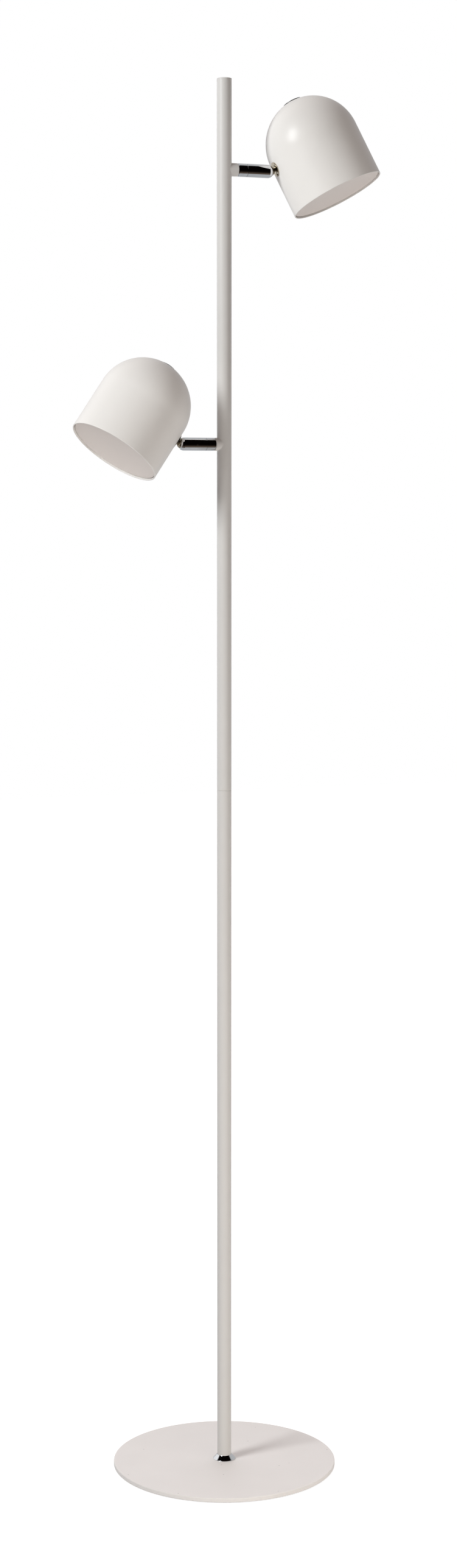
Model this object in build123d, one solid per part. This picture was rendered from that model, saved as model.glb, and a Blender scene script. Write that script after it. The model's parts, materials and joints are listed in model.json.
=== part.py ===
from build123d import *
import os
from math import sqrt

# Free-standing floor lamp with two swivelling spot heads.
# Millimetres, +Z up. The origin is the centre of the base's underside, on the floor.
# The upper arm points along +X, the lower arm along -X, and the cord leaves towards +Y.

# --- driving dimensions -------------------------------------------------------------------
LAMP_HEIGHT = 1551.0

BASE_DIAMETER = 255.0
PLATE_THICKNESS = 5.0
PLATE_EDGE_ROUND = 0.9
PLATE_LOWER_BREAK = 0.5
PAD_THICKNESS = 0.8
PAD_INSET = 5.0
RECESS_DIAMETER = 30.0
RECESS_WEB = 1.6
FOOT_WASHER_RADIUS = 12.5
FOOT_WASHER_THICKNESS = 1.0
FOOT_NUT_FLATS = 17.0
NUT_ABOVE_PAD = 0.2

POLE_DIAMETER = 16.0
POLE_WALL = 1.0
SEAM_HEIGHT = 782.0
SEAM_CHAMFER = 0.35
CAP_THICKNESS = 1.6
CAP_EDGE = 0.4
CAP_PLUG_WALL = 1.4
CAP_PLUG_LENGTH = 10.0
INSERT_LENGTH = 18.0
NIPPLE_SHORT_OF_BUSH = 2.0

BOLT_CLEARANCE = 0.1
M10_RADIUS = 5.0
M10_BORE_RADIUS = 3.2
M8_RADIUS = 4.0
M8_BORE_RADIUS = 2.6

COLLAR_FOOT_DIAMETER = 26.0
COLLAR_TOP_DIAMETER = 17.0
COLLAR_HEIGHT = 5.6
COLLAR_SOCKET_DEPTH = 2.6
COLLAR_SOCKET_CLEARANCE = 0.02
COLLAR_LAND = 0.8
COLLAR_TOP_BREAK = (0.3, 0.4)

CORD_INLET_HEIGHT = 38.0
CORD_BORE_RADIUS = 2.7
INLET_HOLE_RADIUS = 3.6
INLET_LIP_RADIUS = 5.0
INLET_LIP_HEIGHT = 1.5
INLET_LIP_EDGE = 0.6
INLET_BODY_DEPTH = 1.5
LEAD_RADIUS = 2.0
LEAD_ABOVE_INLET = 7.6
WIRE_HOLE_RADIUS = 4.2

# Arm: distances run along the arm from the outer face of its stub.
ARM_DIAMETER = 14.0
ARM_EDGE = 0.25
SLEEVE_LENGTH = 10.5
SEAM_GAP = 0.3
SPIGOT_END = 29.3
SHOULDER = 36.7
NOSE_END = 40.4
NOSE_RADIUS = 5.2
NOSE_BREAK = (2.2, 0.7)
BALL_AT = 38.9
SOCKET_START = 35.7
BARREL_BORE_RADIUS = 5.2
RUNNING_CLEARANCE = 0.06
NIPPLE_INSIDE = 6.0
GRUB_AT = 22.0
GRUB_TURN = -12.0
GRUB_RADIUS = 1.0
GRUB_TIP_RADIUS = 0.7
GRUB_KEY_RADIUS = 0.5
GRUB_KEY_DEPTH = 1.0
GRUB_SUNK = 0.25
GRUB_TIP_ABOVE_GROOVE = 0.3
GRUB_THREAD_START = 5.4
GROOVE_DEPTH = 0.9
GROOVE_WIDTH = 2.0
SEAT_LENGTH = 6.0
SEAT_END = 36.9
SEAT_RADIUS = 4.7
SEAT_BORE_RADIUS = 1.9
SPRING_THICKNESS = 0.5
SPRING_BORE_RADIUS = 2.3
SPRING_START = 29.4

# Ball stud: distances run along the stud from the centre of the ball.
BALL_RADIUS = 4.75
NECK_RADIUS = 2.2
STUD_COLLAR_AT = 4.95
STUD_COLLAR_END = 5.45
STUD_COLLAR_RADIUS = 4.6
STUD_COLLAR_EDGE = 0.15
STUD_END = 15.3
STUD_BORE_RADIUS = 1.3
FLANGE_RADIUS = 8.0
FLANGE_AT = 5.5
FLANGE_EDGE = 0.3
FLANGE_SCREW_DROP = 6.4
FLANGE_SCREW_RADIUS = 0.9
FLANGE_SCREW_HEAD_RADIUS = 1.5
FLANGE_SCREW_HEAD_HEIGHT = 0.8
FLANGE_SCREW_HEAD_ROUND = 0.4
FLANGE_SCREW_SLOT = 0.5
BRACKET_AT = 8.0
BRACKET_THICKNESS = 1.5
SPRING_WASHER_THICKNESS = 0.8
SPRING_WASHER_CLEARANCE = 0.1
SPRING_WASHER_RADIUS = 6.4
NUT_THICKNESS = 3.4
NUT_FLATS = 13.0

# Head: heights run along the head's own axis from the plane of its rim.
SHADE_RIM_RADIUS = 52.0
SHADE_DOME_RADIUS = 51.8
SHADE_STRAIGHT = 61.0
SHADE_WALL = 1.2
STUD_HEIGHT = 52.8
STUD_TO_AXIS = 58.1
APEX_FLAT_RADIUS = 10.6
APEX_HOLE_RADIUS = 8.6
RIM_ROUND = 0.5

DIFFUSER_RECESS = 1.8
DIFFUSER_GAP = 0.5
DIFFUSER_DISH = 3.5
DIFFUSER_ROUND = 0.6
DIFFUSER_THICKNESS = 2.0
DIFFUSER_SKIRT = 10.0
DIFFUSER_SKIRT_WALL = 1.5
SNAP_RIB_HEIGHT = 1.5
SNAP_RIB_CLEARANCE = 0.02
REFLECTOR_FOOT = 4.8
REFLECTOR_TOP = 31.2
REFLECTOR_WALL = 1.2
REFLECTOR_THROAT = 14.0
REFLECTOR_CLEARANCE = 0.3
LED_BOARD_RADIUS = 24.0
LED_BOARD_THICKNESS = 1.6
LED_RADIUS = 9.0
LED_PROUD = 0.8
HEAT_SINK_PLATE = 3.2
FIN_COUNT = 16
FIN_HEIGHT = 9.0
FIN_THICKNESS = 1.6
FIN_INNER = 12.0
FIN_OUTER = 46.0
HEAT_SINK_CLEARANCE = 0.3
BRACKET_WIDTH = 10.0
BRACKET_REACH = 22.0
BRACKET_HEADROOM = 9.1
BRACKET_SCREW_PLACES = (8.0, 16.0)
BRACKET_SCREW_RADIUS = 2.6
BRACKET_SCREW_HEIGHT = 1.8
BRACKET_SCREW_ROUND = 0.6
DRIVER_BOARD_RADIUS = 34.0
DRIVER_BOARD_THICKNESS = 1.6
DRIVER_BLOCKS = (((-12, 8), (16, 14, 11)), ((14, -10), (12, 9, 8)))
DRIVER_CANS = ((12, 12), (-10, -14))
DRIVER_CAN_RADIUS = 4.0
DRIVER_CAN_HEIGHT = 12.0
HEAD_LEAD_RADIUS = 1.1
HEAD_LEAD_REACH = 26.0
HEAD_LEAD_BEND = 5.0

TOUCH_DISC_RADIUS = 10.3
TOUCH_DISC_THICKNESS = 1.2
TOUCH_DISC_EDGE = 0.4
TOUCH_GASKET_THICKNESS = 0.5
TOUCH_GASKET_OVERHANG = 0.2
TOUCH_GASKET_PLUG = 4.0
TOUCH_STEM_RADIUS = 2.0
TOUCH_STEM_LENGTH = 14.0
TOUCH_WASHER_RADIUS = 9.6
TOUCH_WASHER_THICKNESS = 1.0
TOUCH_NUT_FLATS = 7.0
TOUCH_NUT_THICKNESS = 3.2

# Each arm: height of its axis, reach of its stub from the pole's axis, turn about the pole,
# then how the joint stands at rest: barrel turned, ball tilted up, head turned on its stud.
ARMS = {
    "upper": dict(height=1455.8, reach=14.9, turn=0, barrel_turn=5.5, tilt=23.8, head_turn=-19.0),
    "lower": dict(height=1162.6, reach=11.5, turn=180, barrel_turn=4.0, tilt=35.4, head_turn=1.5),
}

# --- places worked out from them ----------------------------------------------------------
POLE_RADIUS = POLE_DIAMETER / 2
POLE_BORE_RADIUS = POLE_RADIUS - POLE_WALL
ARM_RADIUS = ARM_DIAMETER / 2
PLATE_TOP = PAD_THICKNESS + PLATE_THICKNESS
FOOT_BOTTOM = PAD_THICKNESS + NUT_ABOVE_PAD
RECESS_TOP = PLATE_TOP - RECESS_WEB
COLLAR_TOP = PLATE_TOP + COLLAR_HEIGHT
POLE_FOOT = COLLAR_TOP - COLLAR_SOCKET_DEPTH
POLE_TOP = LAMP_HEIGHT - CAP_THICKNESS
HEAT_SINK_BASE = REFLECTOR_TOP + LED_BOARD_THICKNESS
HEAT_SINK_TOP = HEAT_SINK_BASE + HEAT_SINK_PLATE
DIFFUSER_RADIUS = SHADE_RIM_RADIUS - SHADE_WALL - DIFFUSER_GAP
APEX_HEIGHT = SHADE_STRAIGHT + sqrt(SHADE_DOME_RADIUS**2 - APEX_FLAT_RADIUS**2)
SPRING_WASHER_AT = BRACKET_AT + BRACKET_THICKNESS + SPRING_WASHER_CLEARANCE
STUD_NUT_AT = SPRING_WASHER_AT + SPRING_WASHER_THICKNESS
BRACKET_TOP = STUD_HEIGHT + BRACKET_HEADROOM
DRIVER_BOARD_AT = BRACKET_TOP + BRACKET_THICKNESS

UP = (Align.CENTER, Align.CENTER, Align.MIN)


def rod(radius, bottom, top):
    """Cylinder on the Z axis between two heights."""
    return Pos(0, 0, bottom) * Cylinder(radius, top - bottom, align=UP)


def tube(radius, bore, bottom, top):
    return rod(radius, bottom, top) - rod(bore, bottom, top)


def x_rod(radius, start, end):
    """Cylinder on the X axis between two distances."""
    return Pos(start, 0, 0) * Rot(0, 90, 0) * Cylinder(radius, end - start, align=UP)


def x_tube(radius, bore, start, end):
    return x_rod(radius, start, end) - x_rod(bore, start, end)


def hex_nut(flats, bore, bottom, top):
    blank = extrude(RegularPolygon(flats / 2, 6, major_radius=False), top - bottom)
    return Pos(0, 0, bottom) * blank - rod(bore, bottom, top)


def save(node, shape):
    shape.label = node
    export_step(shape, f"parts/{node}.step")


# --- base and foot ------------------------------------------------------------------------
def base_plate():
    """Steel disc, recessed underneath for the nut that holds the pole."""
    plate = rod(BASE_DIAMETER / 2, PAD_THICKNESS, PLATE_TOP)
    plate = fillet(plate.edges().group_by(Axis.Z)[-1], PLATE_EDGE_ROUND)
    plate = chamfer(plate.edges().group_by(Axis.Z)[0], PLATE_LOWER_BREAK)
    plate -= rod(RECESS_DIAMETER / 2, PAD_THICKNESS, RECESS_TOP)
    return plate - rod(M10_RADIUS + BOLT_CLEARANCE, RECESS_TOP, PLATE_TOP)


def base_pad():
    return rod(BASE_DIAMETER / 2 - PAD_INSET, 0, PAD_THICKNESS)


def foot_washer():
    bottom = RECESS_TOP - FOOT_WASHER_THICKNESS
    return tube(FOOT_WASHER_RADIUS, M10_RADIUS + BOLT_CLEARANCE, bottom, RECESS_TOP)


def foot_nut():
    top = RECESS_TOP - FOOT_WASHER_THICKNESS
    return hex_nut(FOOT_NUT_FLATS, M10_RADIUS, FOOT_BOTTOM, top)


def foot_nipple():
    """Hollow threaded tube that ties plate, collar and pole together."""
    top = POLE_FOOT + INSERT_LENGTH - NIPPLE_SHORT_OF_BUSH
    return tube(M10_RADIUS, M10_BORE_RADIUS, FOOT_BOTTOM, top)


def foot_collar():
    """Turned cone that the pole stands in, with a narrow land at its foot."""
    foot, top = COLLAR_FOOT_DIAMETER / 2, COLLAR_TOP_DIAMETER / 2
    land = PLATE_TOP + COLLAR_LAND
    slope_end = (top + COLLAR_TOP_BREAK[0], COLLAR_TOP - COLLAR_TOP_BREAK[1])
    outline = Polyline((0, PLATE_TOP), (foot, PLATE_TOP), (foot, land), slope_end,
                       (top, COLLAR_TOP), (0, COLLAR_TOP), close=True)
    cone = revolve(Plane.XZ * make_face(outline), Axis.Z)
    cone -= rod(POLE_RADIUS + COLLAR_SOCKET_CLEARANCE, POLE_FOOT, COLLAR_TOP)
    return cone - rod(M10_RADIUS, PLATE_TOP, COLLAR_TOP)


# --- pole ---------------------------------------------------------------------------------
def pole_tube(bottom, top, foot_edge, head_edge):
    """Drawn steel tube with its outer edges broken by the two given chamfers."""
    outer = rod(POLE_RADIUS, bottom, top)
    if head_edge:
        outer = chamfer(outer.edges().group_by(Axis.Z)[-1], head_edge)
    if foot_edge:
        outer = chamfer(outer.edges().group_by(Axis.Z)[0], foot_edge)
    return outer - rod(POLE_BORE_RADIUS, bottom, top)


def cord_inlet_place():
    return Pos(0, 0, CORD_INLET_HEIGHT) * Rot(0, 0, 90)


def pole_lower():
    tube_body = pole_tube(POLE_FOOT, SEAM_HEIGHT, 0, SEAM_CHAMFER)
    return tube_body - cord_inlet_place() * x_rod(INLET_HOLE_RADIUS, 0, POLE_DIAMETER)


def pole_upper():
    tube_body = pole_tube(SEAM_HEIGHT, POLE_TOP, SEAM_CHAMFER, 0)
    for arm in ARMS.values():
        wire_hole = x_rod(WIRE_HOLE_RADIUS, 0, POLE_DIAMETER)
        tube_body -= Pos(0, 0, arm["height"]) * Rot(0, 0, arm["turn"]) * wire_hole
    return tube_body


def pole_inserts():
    """Three like bushes pressed into the tubes' ends: foot, below the seam and above it."""
    starts = (POLE_FOOT, SEAM_HEIGHT - INSERT_LENGTH, SEAM_HEIGHT)
    bushes = [tube(POLE_BORE_RADIUS, M10_RADIUS, z, z + INSERT_LENGTH) for z in starts]
    return Compound(children=bushes)


def pole_nipple():
    reach = INSERT_LENGTH - NIPPLE_SHORT_OF_BUSH
    return tube(M10_RADIUS, M10_BORE_RADIUS, SEAM_HEIGHT - reach, SEAM_HEIGHT + reach)


def pole_cap():
    """Pressed lid whose skirt plugs into the tube."""
    lid = chamfer(rod(POLE_RADIUS, POLE_TOP, LAMP_HEIGHT).edges().group_by(Axis.Z)[-1], CAP_EDGE)
    plug_bore = POLE_BORE_RADIUS - CAP_PLUG_WALL
    return lid + tube(POLE_BORE_RADIUS, plug_bore, POLE_TOP - CAP_PLUG_LENGTH, POLE_TOP)


def cord_grommet():
    """Bush in the back of the pole, its lip saddled to the tube."""
    lip_face = POLE_RADIUS + INLET_LIP_HEIGHT
    lip = chamfer(x_rod(INLET_LIP_RADIUS, 0, lip_face).edges().group_by(Axis.X)[-1], INLET_LIP_EDGE)
    body = x_rod(INLET_HOLE_RADIUS, POLE_BORE_RADIUS - INLET_BODY_DEPTH, lip_face - INLET_LIP_EDGE)
    bush = (lip - rod(POLE_RADIUS, -INLET_LIP_RADIUS, INLET_LIP_RADIUS)) + body
    return cord_inlet_place() * (bush - x_rod(CORD_BORE_RADIUS, 0, lip_face))


def pole_lead():
    """Flex inside the pole, from just above the inlet to the upper arm."""
    return rod(LEAD_RADIUS, CORD_INLET_HEIGHT + LEAD_ABOVE_INLET, ARMS["upper"]["height"])


# --- arm: pieces lie along +X with the stub's outer face at zero ----------------------------
def stub(reach):
    """Bar welded to the pole, its inner end cut to the tube's curve."""
    bar = x_rod(ARM_RADIUS, -reach, 0)
    bar = chamfer(bar.edges().group_by(Axis.X)[-1], ARM_EDGE)
    bar -= Pos(-reach, 0, 0) * rod(POLE_RADIUS, -ARM_DIAMETER, ARM_DIAMETER)
    bar -= x_rod(M8_BORE_RADIUS, -reach, 0)
    return bar - x_rod(M8_RADIUS, -NIPPLE_INSIDE, 0)


def arm_nipple():
    return x_tube(M8_RADIUS, M8_BORE_RADIUS, -NIPPLE_INSIDE, NIPPLE_INSIDE)


def arm_sleeve():
    """Plated sleeve screwed to the stub, with the spigot that the barrel turns on."""
    sleeve = chamfer(x_rod(ARM_RADIUS, 0, SLEEVE_LENGTH).edges(), ARM_EDGE)
    spigot_radius = BARREL_BORE_RADIUS - RUNNING_CLEARANCE
    sleeve += x_rod(spigot_radius, SLEEVE_LENGTH, SPIGOT_END)
    groove = (GRUB_AT - GROOVE_WIDTH / 2, GRUB_AT + GROOVE_WIDTH / 2)
    sleeve -= x_tube(ARM_RADIUS, spigot_radius - GROOVE_DEPTH, *groove)
    sleeve -= x_rod(M8_BORE_RADIUS, 0, SPIGOT_END)
    return sleeve - x_rod(M8_RADIUS, 0, NIPPLE_INSIDE)


def grub_place():
    """Place on the barrel whose Z runs outwards along the set screw."""
    return Pos(GRUB_AT, 0, 0) * Rot(GRUB_TURN - 90, 0, 0)


def joint_barrel():
    """Plated barrel: bored for the spigot, with a bevelled nose that holds the ball."""
    start = SLEEVE_LENGTH + SEAM_GAP
    socket = BALL_RADIUS + RUNNING_CLEARANCE
    lip = NOSE_END - BALL_AT
    mouth = sqrt(socket**2 - lip**2)
    halfway = sqrt(socket**2 - (lip / 2)**2)
    wall = Polyline((BALL_AT, socket), (SOCKET_START, socket), (SOCKET_START, BARREL_BORE_RADIUS),
                    (start, BARREL_BORE_RADIUS), (start, ARM_RADIUS - ARM_EDGE),
                    (start + ARM_EDGE, ARM_RADIUS), (SHOULDER, ARM_RADIUS),
                    (SHOULDER + NOSE_BREAK[0], ARM_RADIUS - NOSE_BREAK[1]),
                    (NOSE_END, NOSE_RADIUS), (NOSE_END, mouth))
    seat = ThreePointArc((NOSE_END, mouth), (BALL_AT + lip / 2, halfway), (BALL_AT, socket))
    barrel = revolve(make_face(wall + seat), Axis.X)
    return barrel - grub_place() * rod(GRUB_RADIUS, 0, ARM_DIAMETER)


def grub_screw():
    """Dog-point screw whose tip runs in the spigot's groove; hexagon socket outside."""
    tip = BARREL_BORE_RADIUS - GROOVE_DEPTH + GRUB_TIP_ABOVE_GROOVE
    face = ARM_RADIUS - GRUB_SUNK
    screw = rod(GRUB_TIP_RADIUS, tip, face) + rod(GRUB_RADIUS, GRUB_THREAD_START, face)
    key = extrude(RegularPolygon(GRUB_KEY_RADIUS, 6, major_radius=False), GRUB_KEY_DEPTH)
    return grub_place() * (screw - Pos(0, 0, face - GRUB_KEY_DEPTH) * key)


def ball_seat():
    """Acetal cup that presses on the back of the ball."""
    cup = x_tube(SEAT_RADIUS, SEAT_BORE_RADIUS, SEAT_END - SEAT_LENGTH, SEAT_END)
    return cup - Pos(BALL_AT, 0, 0) * Sphere(BALL_RADIUS + RUNNING_CLEARANCE)


def seat_springs():
    """Two dished spring washers, back to back, between the spigot and the seat."""
    middle = (SPRING_START + SEAT_END - SEAT_LENGTH) / 2
    dish = Polyline((SPRING_START, SPRING_BORE_RADIUS),
                    (SPRING_START + SPRING_THICKNESS, SPRING_BORE_RADIUS),
                    (middle, SEAT_RADIUS), (middle - SPRING_THICKNESS, SEAT_RADIUS), close=True)
    first = revolve(make_face(dish), Axis.X)
    second = mirror(first, Plane.YZ.offset(middle))
    return Compound(children=[first, second])


# --- ball stud: pieces lie along +X with the ball's centre at zero --------------------------
def ball_stud():
    """Turned brass stud, drilled through for the head's two wires."""
    stud = Sphere(BALL_RADIUS)
    stud += x_rod(NECK_RADIUS, 0, STUD_COLLAR_AT)
    stud += chamfer(x_rod(STUD_COLLAR_RADIUS, STUD_COLLAR_AT, STUD_COLLAR_END).edges(), STUD_COLLAR_EDGE)
    stud += x_rod(M8_RADIUS, STUD_COLLAR_END, STUD_END)
    return stud - x_rod(STUD_BORE_RADIUS, -BALL_RADIUS, STUD_END)


def stud_nut():
    """Thin nut and its spring washer, on the inner end of the stud."""
    washer = x_tube(SPRING_WASHER_RADIUS, M8_RADIUS, SPRING_WASHER_AT, STUD_NUT_AT)
    nut = hex_nut(NUT_FLATS, M8_RADIUS, STUD_NUT_AT, STUD_NUT_AT + NUT_THICKNESS)
    return Compound(children=[washer, Rot(0, 90, 0) * nut])


# --- head: pieces stand on the rim's plane, head's axis on Z, stud coming in from -X ---------
def shade_radius(height):
    """Outer radius of the straight part at a height."""
    return SHADE_RIM_RADIUS - (SHADE_RIM_RADIUS - SHADE_DOME_RADIUS) * height / SHADE_STRAIGHT


def bullet(offset, bottom):
    """Solid bullet form, offset inwards, down to a height."""
    dome = SHADE_DOME_RADIUS - offset
    top = (0, SHADE_STRAIGHT + dome)
    spring = (dome, SHADE_STRAIGHT)
    middle = (dome * sqrt(0.5), SHADE_STRAIGHT + dome * sqrt(0.5))
    sides = Polyline(spring, (shade_radius(bottom) - offset, bottom), (0, bottom), top)
    return revolve(Plane.XZ * make_face(sides + ThreePointArc(top, middle, spring)), Axis.Z)


def at_stud(shape):
    """Moves a piece that lies along the stud's axis to its place in the head."""
    return Pos(-STUD_TO_AXIS, 0, STUD_HEIGHT) * shape


def flange_screw_shank(start):
    """Shank below the stud, from a distance along it to the inside of the shade."""
    return Pos(0, 0, -FLANGE_SCREW_DROP) * x_rod(FLANGE_SCREW_RADIUS, start, BRACKET_AT)


def shade():
    """Spun aluminium bullet, flat at its apex for the touch disc."""
    outer = bullet(0, 0)
    outer = fillet(outer.edges().group_by(Axis.Z)[0], RIM_ROUND)
    shell = outer - bullet(SHADE_WALL, 0)
    shell -= rod(APEX_FLAT_RADIUS * 2, APEX_HEIGHT, APEX_HEIGHT + SHADE_STRAIGHT)
    shell -= rod(APEX_HOLE_RADIUS, SHADE_STRAIGHT, APEX_HEIGHT)
    shell -= at_stud(x_rod(M8_RADIUS + RUNNING_CLEARANCE, 0, BRACKET_AT))
    return shell - at_stud(flange_screw_shank(0))


def flange_washer():
    """Nickelled washer, its back saddled to the shade."""
    disc = x_rod(FLANGE_RADIUS, FLANGE_AT, BRACKET_AT)
    disc = chamfer(disc.edges().group_by(Axis.X)[0], FLANGE_EDGE)
    disc -= x_rod(M8_RADIUS + RUNNING_CLEARANCE, FLANGE_AT, BRACKET_AT)
    disc -= flange_screw_shank(FLANGE_AT)
    return at_stud(disc) - bullet(0, 0)


def flange_screw():
    """Small pan-head screw that keeps the washer from turning."""
    face = FLANGE_AT - FLANGE_SCREW_HEAD_HEIGHT
    head = x_rod(FLANGE_SCREW_HEAD_RADIUS, face, FLANGE_AT)
    head = fillet(head.edges().group_by(Axis.X)[0], FLANGE_SCREW_HEAD_ROUND)
    slot = Box(FLANGE_SCREW_HEAD_HEIGHT, FLANGE_SCREW_SLOT, FLANGE_SCREW_HEAD_RADIUS * 2)
    head -= Pos(face, 0, 0) * slot
    return at_stud(Pos(0, 0, -FLANGE_SCREW_DROP) * head + flange_screw_shank(FLANGE_AT))


def bracket():
    """Bent steel strip clamped by the stud's nut: it carries heat sink and driver."""
    outer = BRACKET_AT - STUD_TO_AXIS
    inner = outer + BRACKET_THICKNESS
    reach = inner + BRACKET_REACH
    foot = HEAT_SINK_TOP + BRACKET_THICKNESS
    outline = Polyline((reach, HEAT_SINK_TOP), (outer, HEAT_SINK_TOP), (outer, DRIVER_BOARD_AT),
                       (reach, DRIVER_BOARD_AT), (reach, BRACKET_TOP), (inner, BRACKET_TOP),
                       (inner, foot), (reach, foot), close=True)
    strip = extrude(Plane.XZ.offset(-BRACKET_WIDTH / 2) * make_face(outline), BRACKET_WIDTH)
    return strip - at_stud(x_rod(M8_RADIUS + BOLT_CLEARANCE, 0, STUD_END))


def heat_sink():
    """Die-cast plate with radial fins, left open where the bracket stands."""
    radius = shade_radius(HEAT_SINK_BASE) - SHADE_WALL - HEAT_SINK_CLEARANCE
    sink = rod(radius, HEAT_SINK_BASE, HEAT_SINK_TOP)
    length = FIN_OUTER - FIN_INNER
    fin = Box(length, FIN_THICKNESS, FIN_HEIGHT, align=(Align.MIN, Align.CENTER, Align.MIN))
    for index in range(1, FIN_COUNT):
        angle = 180 + index * 360 / FIN_COUNT
        if abs(angle - 360) <= 360 / FIN_COUNT * (FIN_COUNT / 2 - 2):
            sink += Rot(0, 0, angle) * Pos(FIN_INNER, 0, HEAT_SINK_TOP) * fin
    return sink


def bracket_screws():
    bottom = HEAT_SINK_TOP + BRACKET_THICKNESS
    head = rod(BRACKET_SCREW_RADIUS, bottom, bottom + BRACKET_SCREW_HEIGHT)
    head = fillet(head.edges().group_by(Axis.Z)[-1], BRACKET_SCREW_ROUND)
    inner = BRACKET_AT + BRACKET_THICKNESS - STUD_TO_AXIS
    return Compound(children=[Pos(inner + place, 0, 0) * head for place in BRACKET_SCREW_PLACES])


def led_board():
    """Round board with one disc-shaped LED array facing the rim."""
    board = rod(LED_BOARD_RADIUS, REFLECTOR_TOP, HEAT_SINK_BASE)
    return board + rod(LED_RADIUS, REFLECTOR_TOP - LED_PROUD, REFLECTOR_TOP)


def reflector():
    """Thin white cone between the board and the diffuser."""
    mouth = DIFFUSER_RADIUS - DIFFUSER_SKIRT_WALL - REFLECTOR_CLEARANCE
    wall = Polyline((mouth, REFLECTOR_FOOT), (mouth - REFLECTOR_WALL, REFLECTOR_FOOT),
                    (REFLECTOR_THROAT, REFLECTOR_TOP),
                    (REFLECTOR_THROAT + REFLECTOR_WALL, REFLECTOR_TOP), close=True)
    return revolve(Plane.XZ * make_face(wall), Axis.Z)


def diffuser():
    """Opal cover, its face dished a little inwards, whose skirt snaps inside the shade."""
    inner = DIFFUSER_RADIUS - DIFFUSER_SKIRT_WALL
    face, back = DIFFUSER_RECESS, DIFFUSER_RECESS + DIFFUSER_THICKNESS
    skirt_end = back + DIFFUSER_SKIRT
    curve = (inner**2 + DIFFUSER_DISH**2) / (2 * DIFFUSER_DISH)
    halfway = DIFFUSER_DISH - curve + sqrt(curve**2 - (inner / 2)**2)
    sides = Polyline((inner, face), (DIFFUSER_RADIUS, face), (DIFFUSER_RADIUS, skirt_end),
                     (inner, skirt_end), (inner, back))
    upper = ThreePointArc((inner, back), (inner / 2, back + halfway), (0, back + DIFFUSER_DISH))
    middle = Line((0, back + DIFFUSER_DISH), (0, face + DIFFUSER_DISH))
    lower = ThreePointArc((0, face + DIFFUSER_DISH), (inner / 2, face + halfway), (inner, face))
    cover = revolve(Plane.XZ * make_face(sides + upper + middle + lower), Axis.Z)
    cover = fillet(cover.edges().group_by(Axis.Z)[0].sort_by(SortBy.RADIUS)[-1], DIFFUSER_ROUND)
    rib_radius = shade_radius(skirt_end) - SHADE_WALL - SNAP_RIB_CLEARANCE
    return cover + tube(rib_radius, inner, skirt_end - SNAP_RIB_HEIGHT, skirt_end)


def driver_board():
    """LED driver and touch dimmer on one round board, with its tall parts on top."""
    top = DRIVER_BOARD_AT + DRIVER_BOARD_THICKNESS
    board = rod(DRIVER_BOARD_RADIUS, DRIVER_BOARD_AT, top)
    for (x, y), size in DRIVER_BLOCKS:
        board += Pos(x, y, top) * Box(*size, align=UP)
    for x, y in DRIVER_CANS:
        board += Pos(x, y, 0) * rod(DRIVER_CAN_RADIUS, top, top + DRIVER_CAN_HEIGHT)
    return board


def head_leads():
    """The two wires from the stud's bore to the driver board."""
    start = (STUD_END - STUD_TO_AXIS, 0, STUD_HEIGHT)
    corner = (start[0] + HEAD_LEAD_REACH, 0, STUD_HEIGHT)
    path = FilletPolyline(start, corner, (corner[0], 0, DRIVER_BOARD_AT), radius=HEAD_LEAD_BEND)
    return sweep(Plane(origin=start, z_dir=(1, 0, 0)) * Circle(HEAD_LEAD_RADIUS), path=path)


def touch_gasket():
    """Moulded ring under the touch disc, its plug filling the apex hole."""
    top = APEX_HEIGHT + TOUCH_GASKET_THICKNESS
    bush = rod(TOUCH_DISC_RADIUS + TOUCH_GASKET_OVERHANG, APEX_HEIGHT, top)
    bush += rod(APEX_HOLE_RADIUS, APEX_HEIGHT - TOUCH_GASKET_PLUG, APEX_HEIGHT)
    return bush - rod(TOUCH_STEM_RADIUS, APEX_HEIGHT - TOUCH_GASKET_PLUG, top)


def touch_disc():
    """Polished disc that senses a finger; its stem passes through the gasket."""
    bottom = APEX_HEIGHT + TOUCH_GASKET_THICKNESS
    disc = rod(TOUCH_DISC_RADIUS, bottom, bottom + TOUCH_DISC_THICKNESS)
    disc = chamfer(disc.edges().group_by(Axis.Z)[-1], TOUCH_DISC_EDGE)
    return disc + rod(TOUCH_STEM_RADIUS, bottom - TOUCH_STEM_LENGTH, bottom)


def touch_nut():
    """Washer and nut on the stem, inside the head."""
    top = APEX_HEIGHT - TOUCH_GASKET_PLUG
    middle = top - TOUCH_WASHER_THICKNESS
    washer = tube(TOUCH_WASHER_RADIUS, TOUCH_STEM_RADIUS, middle, top)
    nut = hex_nut(TOUCH_NUT_FLATS, TOUCH_STEM_RADIUS, middle - TOUCH_NUT_THICKNESS, middle)
    return Compound(children=[washer, nut])


# --- assembly -----------------------------------------------------------------------------
def place_arm(arm):
    """Frame of the arm: X along it, zero at the stub's outer face."""
    return Pos(0, 0, arm["height"]) * Rot(0, 0, arm["turn"]) * Pos(arm["reach"], 0, 0)


def place_barrel(arm):
    return place_arm(arm) * Rot(arm["barrel_turn"], 0, 0)


def place_stud(arm):
    return place_barrel(arm) * Pos(BALL_AT, 0, 0) * Rot(0, -arm["tilt"], 0)


def place_head(arm):
    return place_stud(arm) * Rot(arm["head_turn"], 0, 0) * Pos(STUD_TO_AXIS, 0, -STUD_HEIGHT)


FIXED_PIECES = (base_plate, base_pad, foot_washer, foot_nut, foot_nipple, foot_collar, pole_lower,
                pole_upper, pole_inserts, pole_nipple, pole_cap, cord_grommet, pole_lead)
BARREL_PIECES = (joint_barrel, grub_screw, ball_seat, seat_springs)
STUD_PIECES = (ball_stud, stud_nut)
HEAD_PIECES = (shade, flange_washer, flange_screw, bracket, heat_sink, bracket_screws, led_board,
               reflector, diffuser, driver_board, head_leads, touch_gasket, touch_disc, touch_nut)

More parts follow.
